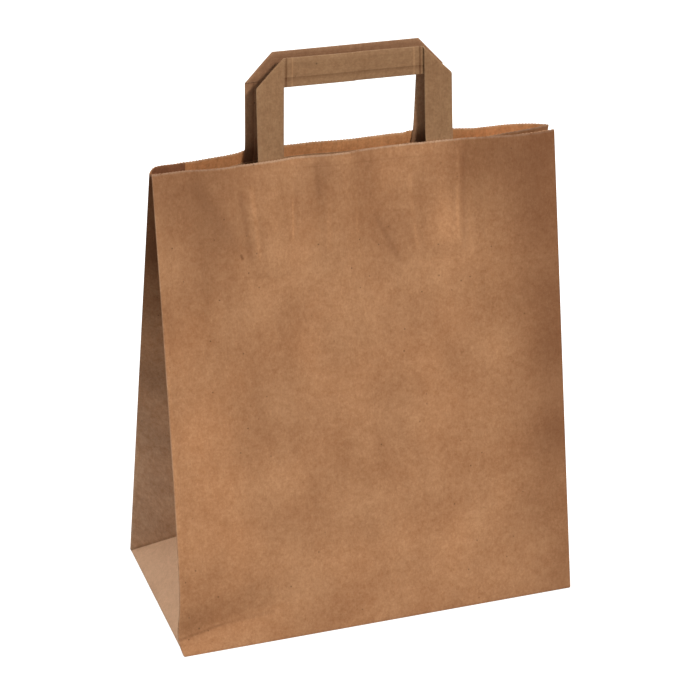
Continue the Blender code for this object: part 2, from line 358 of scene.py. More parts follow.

# Painted shade darkens the front panel towards its right fold, where the panel turns away
# from the light, and over the crease of its dent, and slow clouds of tone lie over both panels
RIGHT_FOLD_SHADE = -0.50
RIGHT_FOLD_SHADE_START = 0.080
RIGHT_FOLD_SHADE_END = 0.128
CREASE_SHADE = -0.22
REAR_CLOUD = 0.10
FRONT_CLOUD = 0.05

# Painted highlights and painted shade along the ridges and creases that the handle's legs,
# the patch and handling press into the front panel, and a painted highlight beside its left
# fold: (x, up) of both ends, half width, change of tone, millimetres
PAINTED_LIGHT_AND_SHADE_LINES = (
    ((-70, 294), (-66, 238), 2.6, 0.15),
    ((-77, 290), (-71.5, 238), 4.0, -0.20),
    ((-108, 300), (-76, 244), 9.0, -0.12),
    ((-57, 292), (-56, 236), 8.0, 0.05),
    ((-78.5, 248), (-77, 244), 1.6, -0.45),
    ((-41.5, 280), (-43.5, 250), 1.1, 0.20),
    ((-38.5, 292), (-40.5, 246), 2.4, -0.08),
    ((67.5, 300), (65.5, 238), 1.8, 0.14),
    ((57, 296), (56, 236), 9.0, 0.07),
    ((71.5, 302), (69.5, 228), 4.0, -0.20),
    ((-46, 295.5), (63, 293), 0.9, -0.10),
    ((-58, 299.5), (60, 298), 3.0, 0.08),
    ((-19, 292), (-21, 238), 2.4, 0.09),
    ((-1, 286), (-2, 246), 2.0, 0.08),
    ((35, 288), (39, 232), 3.0, 0.10),
    ((-27, 300), (-25, 272), 3.0, -0.12),
    ((10, 264), (27, 228), 3.2, -0.15),
    ((19, 264), (36, 232), 2.6, 0.05),
    ((-128, 236), (-129.5, 60), 1.6, 0.10),
    ((-142, 9.5), (-100, 17), 1.5, -0.30),
    ((-106, 16), (-70, 20), 2.2, -0.18),
)


def panel_tone_and_shade(side, x, up):
    """Change of tone on a panel: clouds, the listed patches, and painted shade towards the front
    panel's right fold and over its dent's crease.
    """
    place = Vector((x, up, 0))
    if side == REAR:
        return REAR_CLOUD * ripple(place, 0.070, 31)
    upper = 0.60 + 0.40 * ramp(up, 0.050, 0.120)
    change = RIGHT_FOLD_SHADE * ramp(x, RIGHT_FOLD_SHADE_START, RIGHT_FOLD_SHADE_END) * upper
    for *spot, amount in TONE_PATCHES:
        change += amount * soft_spot(x, up, spot)
    crease, share = dent(x)
    over = up - crease
    change += CREASE_SHADE * share * ramp(over, -0.003, 0.004) * math.exp(-max(over, 0) / 0.010)
    return change + FRONT_CLOUD * ripple(place, 0.030, 17)


# Painted light and shade on the gussets: light on their low part, shade in the band inside
# it beside the crease and on the left one's top, and the strength of their clouds of tone
GUSSET_LOW_LIGHT = 0.28
GUSSET_BAND_SHADE = -0.30
GUSSET_TOP_SHADE = -0.50
GUSSET_CLOUD = 0.12


def gusset_light_and_shade(end, cell, up):
    """Change of tone on a gusset: painted light low down, painted shade beside the crease and
    under the left one's mouth, and clouds.
    """
    share = cell / GUSSET_CELLS
    band = ramp(up, 0.02, 0.06) * (1 - ramp(up, 0.11, 0.17))
    change = GUSSET_LOW_LIGHT * (1 - ramp(up, 0.06, 0.20)) * (1 - 0.6 * share)
    change += GUSSET_BAND_SHADE * ramp(share, 0.50, 0.90) * band
    if end == LEFT:
        change += GUSSET_TOP_SHADE * ramp(up, 0.16, 0.27)
    return change + GUSSET_CLOUD * ripple(Vector((share * 0.05, up, end)), 0.024, 23)


columns = []


def add_gusset(end, start_side):
    columns.extend(("gusset", start_side, end, i) for i in range(GUSSET_CELLS + 1))
    columns.append(("crease", start_side, end, 0))
    columns.extend(("gusset", -start_side, end, i) for i in range(GUSSET_CELLS, -1, -1))


def add_fold(side, end, towards_panel):
    steps = [i / FOLD_CELLS for i in range(1, FOLD_CELLS)]
    columns.extend(("fold", side, end, 1 - s if towards_panel else s) for s in steps)


def add_panel(side):
    reach = HALF_WIDTH - FOLD
    places = [side * reach * (1 - 2 * i / PANEL_CELLS) for i in range(PANEL_CELLS + 1)]
    columns.extend(("panel", side, 0, x) for x in places)


add_gusset(LEFT, REAR)
add_fold(FRONT, LEFT, True)
add_panel(FRONT)
add_fold(FRONT, RIGHT, False)
add_gusset(RIGHT, FRONT)
add_fold(REAR, RIGHT, True)
add_panel(REAR)
add_fold(REAR, LEFT, False)
columns.append(columns[0])

foot_rows = [HALF_DEPTH * i / GUSSET_CELLS for i in range(GUSSET_CELLS)]
upper = PANEL_LENGTH - HALF_DEPTH
rows = foot_rows + [HALF_DEPTH + upper * i / UPPER_CELLS for i in range(UPPER_CELLS + 1)]


def sheet_point(column, row):
    kind, side, end, place = columns[column]
    up = rows[row]
    if kind == "panel":
        return panel_face(side, place, up)
    if kind == "fold":
        return fold_face(side, end, place, up)
    if kind == "crease":
        near = gusset_face(FRONT, end, GUSSET_CELLS, row, up)
        far = gusset_face(REAR, end, GUSSET_CELLS, row, up)
        return (near + far) / 2 - Vector((end * CREASE / 2, 0, 0))
    return gusset_face(side, end, place, row, up)


def add_grid(cells_across, cells_up):
    """A flat grid of one metre square around the origin, which is then bent to shape."""
    bpy.ops.object.select_all(action="DESELECT")
    bpy.ops.mesh.primitive_grid_add(x_subdivisions=cells_across, y_subdivisions=cells_up, size=1)
    return bpy.context.object


# A sheet's attributes: its height up the paper, its paleness from rubbed folds and from
# painted light low on the gussets, its change of tone with painted light and shade, how far
# inside the foot's triangle it lies, and whether it is on the front panel
SHEET_ATTRIBUTES = ("rise", "wear_and_light", "shade", "foot", "front")
GUSSET_LOW_PALE_LIGHT = 1.9

bag = add_grid(len(columns) - 1, len(rows) - 1)
bag.name = "paper_bag"
for attribute in SHEET_ATTRIBUTES:
    bag.data.attributes.new(attribute, "FLOAT", "POINT")
rise, wear_and_light, shade, foot, front = (bag.data.attributes[name] for name in SHEET_ATTRIBUTES)
for vert in bag.data.vertices:
    column = round((vert.co.x + 0.5) * (len(columns) - 1))
    row = round((vert.co.y + 0.5) * (len(rows) - 1))
    vert.co = sheet_point(column, row)
    kind, side, end, place = columns[column]
    rise.data[vert.index].value = rows[row]
    creased = kind in ("fold", "crease") or (kind == "gusset" and row == place and row > 0)
    wear_and_light.data[vert.index].value = 1.0 if creased else 0.0
    # Low on a gusset the paper is painted paler, as light thrown up from the floor
    if kind == "gusset" and row > place:
        bounce_lit = 1 - ramp(rows[row], 0.060, 0.260)
        wear_and_light.data[vert.index].value = GUSSET_LOW_PALE_LIGHT * bounce_lit * (1 - 0.5 * place / GUSSET_CELLS)
    if kind in ("panel", "fold"):
        x = place if kind == "panel" else end * HALF_WIDTH
        shade.data[vert.index].value = panel_tone_and_shade(side, x, rows[row])
        front.data[vert.index].value = 1.0 if side == FRONT else 0.0
    else:
        cell = GUSSET_CELLS if kind == "crease" else place
        foot.data[vert.index].value = cell - row
        shade.data[vert.index].value = 0.0 if row <= cell else gusset_light_and_shade(end, cell, rows[row])


def values_of(obj, attribute):
    """An attribute's value at each vertex, read again when the mesh has changed."""
    return [point.value for point in obj.data.attributes[attribute].data]


def pick(obj, mode, test):
    """Select, in edit mode, the vertices, edges or faces that pass the test."""
    bpy.ops.object.mode_set(mode="OBJECT")
    mesh = obj.data
    for element in (*mesh.vertices, *mesh.edges, *mesh.polygons):
        element.select = False
    for element in {"VERT": mesh.vertices, "EDGE": mesh.edges, "FACE": mesh.polygons}[mode]:
        element.select = test(element)
    bpy.ops.object.mode_set(mode="EDIT")
    bpy.ops.mesh.select_mode(type=mode)


def apply_modifier(obj, kind, **settings):
    modifier = obj.modifiers.new(kind.lower(), kind)
    for name, value in settings.items():
        setattr(modifier, name, value)
    bpy.ops.object.modifier_apply(modifier=modifier.name)


# The diagonals of the foot become edges, and the ends of the sheet are joined
MERGE = 0.00001
wear = values_of(bag, "wear_and_light")
heights = values_of(bag, "rise")
pick(bag, "VERT", lambda vert: wear[vert.index] > 0 and heights[vert.index] <= HALF_DEPTH)
bpy.ops.mesh.vert_connect()
bpy.ops.mesh.select_all(action="SELECT")
bpy.ops.mesh.remove_doubles(threshold=MERGE)

# Teeth of the cut edge: each rim edge gets a point in its middle, which is pulled up.
# Each tear has a share of the tooth's height and a number of waves in a metre.
RIM_BAND = 0.0001
FINE_TEAR = (0.35, 400)
COARSE_TEAR = (0.5, 90)
bpy.ops.object.mode_set(mode="OBJECT")
on_rim = [height > PANEL_LENGTH - RIM_BAND for height in values_of(bag, "rise")]
known = len(bag.data.vertices)
pick(bag, "EDGE", lambda edge: on_rim[edge.vertices[0]] and on_rim[edge.vertices[1]])
bpy.ops.mesh.subdivide(number_cuts=1)
bpy.ops.object.mode_set(mode="OBJECT")
for vert in bag.data.vertices:
    peak = vert.index >= known
    if peak or on_rim[vert.index]:
        torn = 0.0
        for amount, waves in (FINE_TEAR, COARSE_TEAR):
            torn += amount * noise.noise(vert.co * waves)
        vert.co.z += TOOTH * ((0.5 if peak else -0.5) + torn * 0.5)

# The bottom: the tube's open foot is filled, and its folds are rounded
BOTTOM_FOLD = 0.0010
on_foot = [height == 0 for height in values_of(bag, "rise")]
pick(bag, "EDGE", lambda edge: on_foot[edge.vertices[0]] and on_foot[edge.vertices[1]])
bpy.ops.mesh.edge_face_add()
bpy.ops.mesh.bevel(offset=BOTTOM_FOLD, segments=2, affect="EDGES")
bpy.ops.mesh.select_all(action="SELECT")
bpy.ops.mesh.normals_make_consistent(inside=False)
bpy.ops.object.mode_set(mode="OBJECT")


# Materials are written as sums of their nodes' sockets.
class Wire:
    """A socket of a material's nodes, which Python's operators add Math nodes to."""

    def __init__(self, tree, socket=None):
        self.tree = tree
        self.socket = socket

    def node(self, kind, values=None, out=0, **settings):
        made = self.tree.nodes.new("ShaderNode" + kind)
        for name, value in settings.items():
            setattr(made, name, value)
        for name, value in (values or {}).items():
            if isinstance(value, Wire):
                self.tree.links.new(value.socket, made.inputs[name])
            else:
                made.inputs[name].default_value = value
        return Wire(self.tree, made.outputs[out])

    def math(self, operation, *others):
        return self.node("Math", dict(enumerate((self, *others))), operation=operation)

    def __add__(self, other):
        return self.math("ADD", other)

    def __sub__(self, other):
        return self.math("SUBTRACT", other)

    def __rsub__(self, other):
        return (self * -1) + other

    def __mul__(self, other):
        return self.math("MULTIPLY", other)

    def __gt__(self, other):
        return self.math("GREATER_THAN", other)

    __radd__ = __add__
    __rmul__ = __mul__

    def rise(self, start, end):
        """0 under start and 1 over end, smooth between them."""
        ends = {"Value": self, "From Min": start, "From Max": end}
        return self.node("MapRange", ends, interpolation_type="SMOOTHSTEP")

    def attribute(self, name, out="Fac"):
        return self.node("Attribute", attribute_name=name, out=out)

    def axis(self, number):
        """One of the three numbers of a place: 0 for X, 1 for Y and 2 for Z."""
        return self.node("SeparateXYZ", {"Vector": self}, out=number)

    def clouds(self, scale, detail=3.0, roughness=0.55):
        values = {"Vector": self, "Scale": scale, "Detail": detail, "Roughness": roughness}
        return self.node("TexNoise", values)

    def stretched(self, scale, turn=(0, 0, 0), move=(0, 0, 0)):
        values = {"Vector": self, "Location": move, "Rotation": turn, "Scale": scale}
        return self.node("Mapping", values)

    def blend(self, first, second, share):
        """The first colour where the share is 0, the second where it is 1."""
        values = {"Factor": share, "A": first, "B": second}
        return self.node("Mix", values, out=2, data_type="RGBA")

    def mixed(self, other, share):
        return self.blend(self, other, share)

    def shaded(self, share):
        return self.node("VectorMath", {"Vector": self, "Scale": share}, operation="SCALE")


# The share of its length that a line fades over at each end, and how far the pulp's clouds
# shift it, in millimetres
LINE_FADE = 0.18
LINE_DRIFT = 2.5


def near_line(x, up, start, end, reach):
    """1 on a line of the front panel and 0 beside it, fading towards its ends."""
    length = math.dist(start, end)
    way_x = (end[0] - start[0]) / length
    way_up = (end[1] - start[1]) / length
    along = (x - start[0]) * way_x + (up - start[1]) * way_up
    off = (x - start[0]) * way_up - (up - start[1]) * way_x
    fade = length * LINE_FADE
    inside = along.rise(0, fade) * (1 - along.rise(length - fade, length))
    return inside * (1 - off.math("ABSOLUTE").rise(0, reach))


def line_shade(place, mottle, lines):
    """The front panel's painted highlights and shade along its lines, which the pulp's clouds
    break up a little.
    """
    sheet_x = place.axis(0) * 1000
    sheet_up = place.attribute("rise") * 1000
    drift = (mottle - 0.5) * LINE_DRIFT
    painted_lines = 0.0
    for start, end, reach, amount in lines:
        painted_lines = painted_lines + near_line(sheet_x + drift, sheet_up, start, end, reach) * amount
    return painted_lines * place.attribute("front") * (mottle.rise(0.25, 0.60) * 0.6 + 0.5)


def fold_shade(place):
    """Painted shadow of the leg beside each corner fold, and a painted highlight on a pressed
    crease a little way from it, on a tape's outer face.
    """
    before_leg = place.attribute("before_leg")
    leg_shadow = before_leg.rise(-0.0004, 0.0004) * (1 - before_leg.rise(0.0005, 0.0016))
    crease_highlight = before_leg.rise(0.0038, 0.0045) * (1 - before_leg.rise(0.0045, 0.0053))
    return (place.axis(1) > 0) * (crease_highlight * 0.30 - leg_shadow * 0.55)


# Painted light on the triangle at a gusset's foot and its painted sheen, the paleness of the
# torn rim, the paleness that rubbed folds and the gussets' painted light give, how far the
# painted shade and darker patches cover, and the bump's strength and height
FOOT_PAINTED_LIGHT = 0.45
FOOT_PAINTED_SHEEN = 0.5
RIM_PALE = 0.55
PALE_WEAR_AND_LIGHT = 0.10
SHADE_AND_PATCH_COVER = 1.15
BUMP_STRENGTH = 0.5
BUMP_HEIGHT = 0.0003


def kraft(name, color, red, pale, mottling, fleck_share, streaks=0.0, roughness=0.72,
          cut_edge=False, flat=False, lines=()):
    """Unbleached kraft paper: cloudy pulp, long fibres up the web and a few dark flecks.

    The paper has a cut edge at the mouth, and a foot with painted light and sheen, where
    cut_edge is set. Where flat is set, it is laid out along a handle's tape, with painted
    shadow and highlight beside its folds. The lines are painted highlights and shade.
    """
    material = bpy.data.materials.new(name)
    material.use_nodes = True
    shader = material.node_tree.nodes["Principled BSDF"]
    start = Wire(material.node_tree)
    place = start.attribute("flat", "Vector") if flat else start.node("TexCoord", out="Object")
    pulp = place.clouds(26, 2.0)
    mottle = place.clouds(210, 5.0, 0.72)
    speckle = place.clouds(620, 3.0, 0.7)
    smudge = place.stretched((1, 1, 0.4)).clouds(90, 3.0)
    grain = place.stretched((1, 1, 0.10)).clouds(1500, 2.0)
    left_fibre = place.stretched((1, 1, 0.16), (0, 0.5, 0.3)).clouds(1100, 1.0)
    right_fibre = place.stretched((1, 1, 0.16), (0, -0.6, 0.3), (3, 1, 2)).clouds(1300, 1.0)
    fibres = left_fibre.rise(0.60, 0.74) + right_fibre.rise(0.62, 0.76)
    shadows = (1 - left_fibre).rise(0.62, 0.78)
    specks = {"Vector": place, "Scale": 150.0}
    near = start.node("TexVoronoi", specks)
    lot = start.node("SeparateColor", {"Color": start.node("TexVoronoi", specks, out="Color")})
    fleck = (1 - near.rise(0.05, 0.11)) * (lot > 1 - fleck_share)
    uneven = (pulp - 0.5) * 0.18 + (mottle - 0.5) * 0.32 + (smudge - 0.5) * 0.12
    uneven = (uneven + (speckle - 0.5) * 0.34) * mottling
    tone = 1 + uneven + (grain - 0.5) * 0.22 + fibres * 0.07 - shadows * 0.08 - fleck * 0.45
    height = mottle * 0.6 + grain * 0.35 + fibres * 0.15
    if streaks:
        streak = place.stretched((1, 0.2, 0.07)).clouds(330, 3.0)
        tone = tone + (streak - 0.5) * streaks
        height = height + streak * streaks * 4
    shade = start.attribute("shade")
    whitened = start.attribute("wear_and_light") * (mottle.rise(0.25, 0.75) * 0.16 + PALE_WEAR_AND_LIGHT)
    warm = 1 - (pulp * 0.5 + mottle * 0.5 + speckle * 0.5).rise(0.45, 1.05)
    base = start.blend((*color, 1), (*red, 1), warm).mixed((*pale, 1), whitened)
    if flat:
        shade = shade + fold_shade(place)
    if lines:
        shade = shade + line_shade(place, mottle, lines)
    if cut_edge:
        # The triangle at a gusset's foot gets painted light and a pale painted sheen
        foot = start.attribute("foot").rise(-0.05, 0.35)
        shade = shade + foot * FOOT_PAINTED_LIGHT
        fringe = start.attribute("rise").rise(PANEL_LENGTH - 0.0016, PANEL_LENGTH - 0.0004)
        torn = fringe * RIM_PALE * mottle.rise(0.25, 0.55)
        base = base.mixed((*pale, 1), torn + foot * FOOT_PAINTED_SHEEN)
    # Positive shade lightens the paper: painted light, lighter patches and clouds. Negative shade
    # mixes it towards a darker, redder copy: painted shade, darker patches and clouds.
    tone = tone + shade.math("MAXIMUM", 0.0)
    dark = (color[0] * 0.30, color[1] * 0.17, color[2] * 0.09, 1)
    base = base.shaded(tone).mixed(dark, shade.math("MINIMUM", 0.0) * -SHADE_AND_PATCH_COVER)
    material.node_tree.links.new(base.socket, shader.inputs["Base Color"])
    rough = (mottle - 0.5) * -0.25 + roughness
    material.node_tree.links.new(rough.socket, shader.inputs["Roughness"])
    relief = {"Height": height, "Strength": BUMP_STRENGTH, "Distance": BUMP_HEIGHT}
    material.node_tree.links.new(start.node("Bump", relief).socket, shader.inputs["Normal"])
    shader.inputs["Metallic"].default_value = 0.0
    shader.inputs["Specular IOR Level"].default_value = 0.2
    return material


outer_kraft = kraft("kraft_outside", (0.385, 0.195, 0.092), (0.315, 0.134, 0.053),
                    (0.56, 0.365, 0.245), 1.0, 0.30, cut_edge=True, lines=PAINTED_LIGHT_AND_SHADE_LINES)
# The inside is a lighter copy of the outer paper: painted light for the dimly lit inside of the
# bag
lit_inner_kraft = kraft("kraft_inside_painted_lit", (0.62, 0.300, 0.128), (0.54, 0.220, 0.082),
                    (0.70, 0.45, 0.27), 1.3, 0.20, streaks=0.5, cut_edge=True)
cut_kraft = kraft("kraft_cut_edge", (0.60, 0.36, 0.20), (0.52, 0.28, 0.15),
                  (0.65, 0.42, 0.26), 0.8, 0.0, roughness=0.85)
glued_kraft = kraft("kraft_glued_lap", (0.29, 0.125, 0.060), (0.24, 0.095, 0.043),
                    (0.34, 0.17, 0.09), 1.5, 0.20, streaks=0.4, cut_edge=True)
for finish in (outer_kraft, lit_inner_kraft, cut_kraft, glued_kraft):
    bag.data.materials.append(finish)
apply_modifier(bag, "SOLIDIFY", thickness=PAPER, offset=-1, material_offset=1,
               material_offset_rim=2)

# The glue lap: the web's free edge turns round the left rear fold and is stuck to the
# inside of the rear panel. Its paper is darker than the panel around it.
LAP_CELLS = 10
LAP_START = -HALF_WIDTH + 0.0032
LAP_END = -HALF_WIDTH + 0.0245
LAP_FOOT = 0.0020
LAP_GAP = 0.00015
LAP_CURL = 0.0006
LAP_CURL_START = 0.22
LAP_TURN = 0.0005

lap = add_grid(LAP_CELLS, len(rows) - 1)
lap_rise = lap.data.attributes.new("rise", "FLOAT", "POINT")
for vert in lap.data.vertices:
    share = vert.co.x + 0.5
    x = LAP_START + (LAP_END - LAP_START) * share
    up = LAP_FOOT + (PANEL_LENGTH - LAP_FOOT) * (vert.co.y + 0.5)
    curl = LAP_CURL * ramp(share, 0.6, 1.0) * ramp(up, LAP_CURL_START, PANEL_LENGTH)
    curl += LAP_TURN * (1 - ramp(share, 0.0, 0.3))
    vert.co = panel_point(REAR, x, up, buckle(REAR, x, up) - PAPER - LAP_GAP - curl)
    lap_rise.data[vert.index].value = up
for finish in (glued_kraft, glued_kraft, cut_kraft):
    lap.data.materials.append(finish)
apply_modifier(lap, "SOLIDIFY", thickness=PAPER, offset=-1, material_offset_rim=2)

# The bottom's outer flap: the last fold of the block bottom, from the rear fold to past
# the middle, with its ends folded at 45 degrees. The bag stands on it.
FLAP_LAP = 0.012
FLAP_SETBACK = 0.0015
FLAP_PAPER = PAPER * 0.95
SMOOTH_SHEET = math.radians(60)

bpy.ops.object.select_all(action="DESELECT")
flap_depth = HALF_DEPTH + FLAP_LAP - FLAP_SETBACK
bpy.ops.mesh.primitive_cube_add(
    size=1, scale=(2 * (HALF_WIDTH - FLAP_SETBACK), flap_depth, FLAP_PAPER),
    location=(0, flap_depth / 2 - FLAP_LAP, FLAP_PAPER / 2))
flap = bpy.context.object
bpy.ops.object.transform_apply(location=True, rotation=False, scale=True)
pick(flap, "VERT", lambda vert: vert.co.y < 0)
narrow = (HALF_WIDTH - HALF_DEPTH - FLAP_LAP) / (HALF_WIDTH - FLAP_SETBACK)
bpy.ops.transform.resize(value=(narrow, 1, 1))
bpy.ops.object.mode_set(mode="OBJECT")
flap.data.materials.append(outer_kraft)

bpy.ops.object.select_all(action="DESELECT")
for piece in (lap, flap, bag):
    piece.select_set(True)
bpy.context.view_layer.objects.active = bag
bpy.ops.object.join()
bpy.ops.object.shade_smooth_by_angle(angle=SMOOTH_SHEET)
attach(bag, "root")
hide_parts("bag_body")

# The front handle. A flat tape is folded from several plies of kraft, with one raw edge
# along its outer face. Each end is turned down at 45 degrees in front of the grip, and
# glued to the inside of the front panel.
STRIP = 0.0008
STRIP_EDGE = 0.0004
STRIP_ROUND = 0.0001
PLY = 0.00018
PLY_EDGE = 0.0060
PLY_STEP = 0.00005
PLY_SHADE = -0.35
HOLD = 0.063
RIM_BEND = 0.004
LEG_GAP = 0.00025
SMOOTH_TAPE = math.radians(50)

# Cells along each stretch of half a tape: the grip, the fold, the leg up to the bend at the
# rim, the bend itself in short cells, and the hidden part of the leg
GRIP_STEPS = 18
FOLD_STEPS = 8
LEG_STEPS = 12
BEND_STEPS = 15
BEND_STEP = 0.001
BEND_LEAD = 0.012
HOLD_STEPS = 22


def strip_section(width):
    """Outline of the folded tape: (across from its lower edge, outwards from its middle)."""
    half = STRIP / 2
    low = half - PLY
    inner = [(STRIP_EDGE + (width - 2 * STRIP_EDGE) * i / 6, -half) for i in range(7)]
    top = [(width - STRIP_ROUND, -half * 0.6), (width, 0), (width - STRIP_ROUND, half * 0.6)]
    raised = [(across, half) for across in
              (width - STRIP_EDGE, width * 0.8, width * 0.6, PLY_EDGE + PLY_STEP)]
    lower = [(PLY_EDGE, low), (PLY_EDGE / 2, low), (STRIP_EDGE, low)]
    bottom = [(STRIP_ROUND, low * 0.6), (0, 0), (STRIP_ROUND, -half * 0.6)]
    return inner + top + raised + lower + bottom


def handle_shape(side, centre, half_span, width, height, tilts, top_y, fold_radii):
    """The handle's sizes. Its reach is the tape's length from the grip's middle to the rim."""
    inner = half_span - width
    return {"side": side, "centre": centre, "half_span": half_span, "width": width,
            "height": height, "tilts": tilts, "top_y": top_y, "fold_radii": fold_radii,
            "inner": inner, "reach": half_span + height - width}


def leg_root(handle, x, depth):
    """Point at the rim, behind the panel."""
    side = handle["side"]
    return panel_point(side, x, PANEL_LENGTH, buckle(side, x, PANEL_LENGTH) - depth)


def handle_point(handle, end, across, up, out):
    """Point of the folded tape: across from the handle's middle, up from the rim."""
    side, radius = handle["side"], handle["fold_radii"][end]
    inner = handle["inner"]
    share = min(max((end * across / inner + 1) / 2, 0), 1)
    tilt = handle["tilts"][LEFT] * (1 - share) + handle["tilts"][RIGHT] * share
    x = handle["centre"] + end * across + tilt * up / handle["height"]
    middle = 2 * radius
    depth = PAPER + LEG_GAP + STRIP / 2
    if up <= 0:
        height = PANEL_LENGTH + up
        return panel_point(side, x, height, buckle(side, x, height) - depth + out - middle)
    x_root = handle["centre"] + end * across
    root = leg_root(handle, x_root, depth)
    if across < inner:
        left = leg_root(handle, handle["centre"] - inner, depth)
        root = left.lerp(leg_root(handle, handle["centre"] + inner, depth), share)
    leaning = -side * (HALF_DEPTH - side * rim_y(side, x_root)) / PANEL_LENGTH
    straight = (handle["top_y"] - root.y - leaning * RIM_BEND) / (handle["height"] - RIM_BEND)
    fade = math.exp(-up / RIM_BEND)
    slope = straight + (leaning - straight) * fade
    root.x = x
    root.y += straight * up + (leaning - straight) * RIM_BEND * (1 - fade)
    root.z += up
    return root + Vector((0, 1, -slope)).normalized() * side * (out - middle)


def fold_down(handle, end, along, across, out):
    """Where a point of the flat tape lies once its end is turned down at 45 degrees."""
    radius = handle["fold_radii"][end]
    up = handle["height"] - handle["width"] + across
    past = (along + up - handle["reach"]) / math.sqrt(2)
    moved = past
    if past > math.pi * radius:
        moved = math.pi * radius - past
        out = 2 * radius - out
    elif past > 0:
        angle = past / radius
        moved = (radius - out) * math.sin(angle)
        out = radius - (radius - out) * math.cos(angle)
    shift = (moved - past) / math.sqrt(2)
    return handle_point(handle, end, along + shift, up + shift, out)


def tape_stations(handle, end):
    """Distances along half the tape, close together where it bends."""
    turn = handle["half_span"] - handle["width"] / 2
    arc = math.pi * handle["fold_radii"][end] * math.sqrt(2)
    rim = handle["reach"]
    stations = [turn * i / GRIP_STEPS for i in range(GRIP_STEPS)]
    stations += [turn + arc * i / FOLD_STEPS for i in range(FOLD_STEPS + 1)]
    start, bend = turn + arc, rim - BEND_LEAD
    stations += [start + (bend - start) * i / LEG_STEPS for i in range(1, LEG_STEPS)]
    stations += [bend + BEND_STEP * i for i in range(BEND_STEPS)]
    start, stop = bend + BEND_STEP * BEND_STEPS, rim + HOLD
    return stations + [start + (stop - start) * i / HOLD_STEPS for i in range(HOLD_STEPS + 1)]


# A tape's attributes: its place when laid flat, how worn it is, its change of tone, and the
# distance before the inner edge of the leg
TAPE_ATTRIBUTES = {"flat": "FLOAT_VECTOR", "wear_and_light": "FLOAT", "shade": "FLOAT",
                   "before_leg": "FLOAT"}
WORN_REACH = 0.0006
TAPE_MERGE = 0.000001


def fold_slant(along, turn):
    """Share of 45 degrees that the cells across the tape are slanted by, near a fold."""
    before = ramp(along, turn - 0.030, turn - 0.003)
    return before * (1 - ramp(along, turn + 0.008, turn + 0.034))


def folded_handle(name, handle, finish):
    section = strip_section(handle["width"])
    left = [(LEFT, u) for u in reversed(tape_stations(handle, LEFT))]
    stations = left + [(RIGHT, u) for u in tape_stations(handle, RIGHT)[1:]]
    turn = handle["half_span"] - handle["width"] / 2
    tape = add_grid(len(stations) - 1, len(section))
    tape.name = name
    for attribute, kind in TAPE_ATTRIBUTES.items():
        tape.data.attributes.new(attribute, kind, "POINT")
    flat, wear_and_light, shade, before_leg = (tape.data.attributes[attribute]
                                     for attribute in TAPE_ATTRIBUTES)
    for vert in tape.data.vertices:
        station = round((vert.co.x + 0.5) * (len(stations) - 1))
        corner = round((vert.co.y + 0.5) * len(section)) % len(section)
        end, along = stations[station]
        across, out = section[corner]
        along -= fold_slant(along, turn) * (across - handle["width"] / 2)
        flat.data[vert.index].vector = (across, out, end * along)
        near_edge = min(across, handle["width"] - across)
        wear_and_light.data[vert.index].value = 1 - ramp(near_edge, 0, WORN_REACH)
        before_leg.data[vert.index].value = handle["inner"] - along
        shade.data[vert.index].value = PLY_SHADE if across == PLY_EDGE else 0.0
        vert.co = fold_down(handle, end, along, across, out)
    pick(tape, "VERT", lambda vert: True)
    bpy.ops.mesh.remove_doubles(threshold=TAPE_MERGE)
    bpy.ops.mesh.select_all(action="DESELECT")
    bpy.ops.mesh.select_non_manifold(extend=False)
    bpy.ops.mesh.edge_face_add()
    bpy.ops.mesh.select_all(action="SELECT")
    bpy.ops.mesh.normals_make_consistent(inside=False)
    bpy.ops.object.mode_set(mode="OBJECT")
    bpy.ops.object.shade_smooth_by_angle(angle=SMOOTH_TAPE)
    tape.data.materials.append(finish)
    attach(tape, "root")
    return tape


tape_kraft = kraft("kraft_tape", (0.305, 0.170, 0.083), (0.255, 0.127, 0.058),
                   (0.46, 0.31, 0.19), 1.0, 0.15, flat=True)
FRONT_HANDLE = handle_shape(
    FRONT, centre=0.0005, half_span=0.0632, width=0.018, height=0.0612,
    tilts={LEFT: 0.0010, RIGHT: -0.0033}, top_y=0.0045, fold_radii={LEFT: 0.00045, RIGHT: 0.0008})
front_handle = folded_handle("front_tape_handle", FRONT_HANDLE, tape_kraft)
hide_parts("front_handle")

# The rear handle. It is the same folded tape, glued inside the rear panel, with its grip
# towards the front.
REAR_HANDLE = handle_shape(
    REAR, centre=-0.0036, half_span=0.0620, width=0.0173, height=0.0595,
    tilts={LEFT: 0.0012, RIGHT: 0.0019}, top_y=0.0157, fold_radii={LEFT: 0.0006, RIGHT: 0.0006})
# Its paper is a little redder than the front handle's: a painted tint for the reddish light in
# its shade
shade_tinted_tape_kraft = kraft("kraft_rear_tape_shade_tint", (0.318, 0.169, 0.088), (0.268, 0.126, 0.061),
                        (0.46, 0.31, 0.19), 1.0, 0.15, flat=True)
rear_handle = folded_handle("rear_tape_handle", REAR_HANDLE, shade_tinted_tape_kraft)
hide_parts("rear_handle")

# The patches. A sheet of kraft is glued over the legs of each handle, inside the bag, so
# that the legs can't tear away from the panel. It drapes over the legs.
PATCH_TOP = PANEL_LENGTH - PATCH_LINE
PATCH_LENGTH = 0.065
PATCH_DRAPE = 0.003
PATCH_SLACK = 0.0008
PATCH_CELLS = (120, 50)


def leg_cover(handle, x, up):
    """1 over a leg of the handle, 0 beside it."""
    cover = 0.0
    for end in (LEFT, RIGHT):
        shift = handle["centre"] + handle["tilts"][end] * up / handle["height"]
        distance = end * (x - shift)
        near = handle["inner"] - PATCH_SLACK
        far = handle["half_span"] + PATCH_SLACK
        over = ramp(distance, near - PATCH_DRAPE, near)
        over *= 1 - ramp(distance, far, far + PATCH_DRAPE)
        cover += over * ramp(up, -HOLD - PATCH_DRAPE, -HOLD)
    return cover


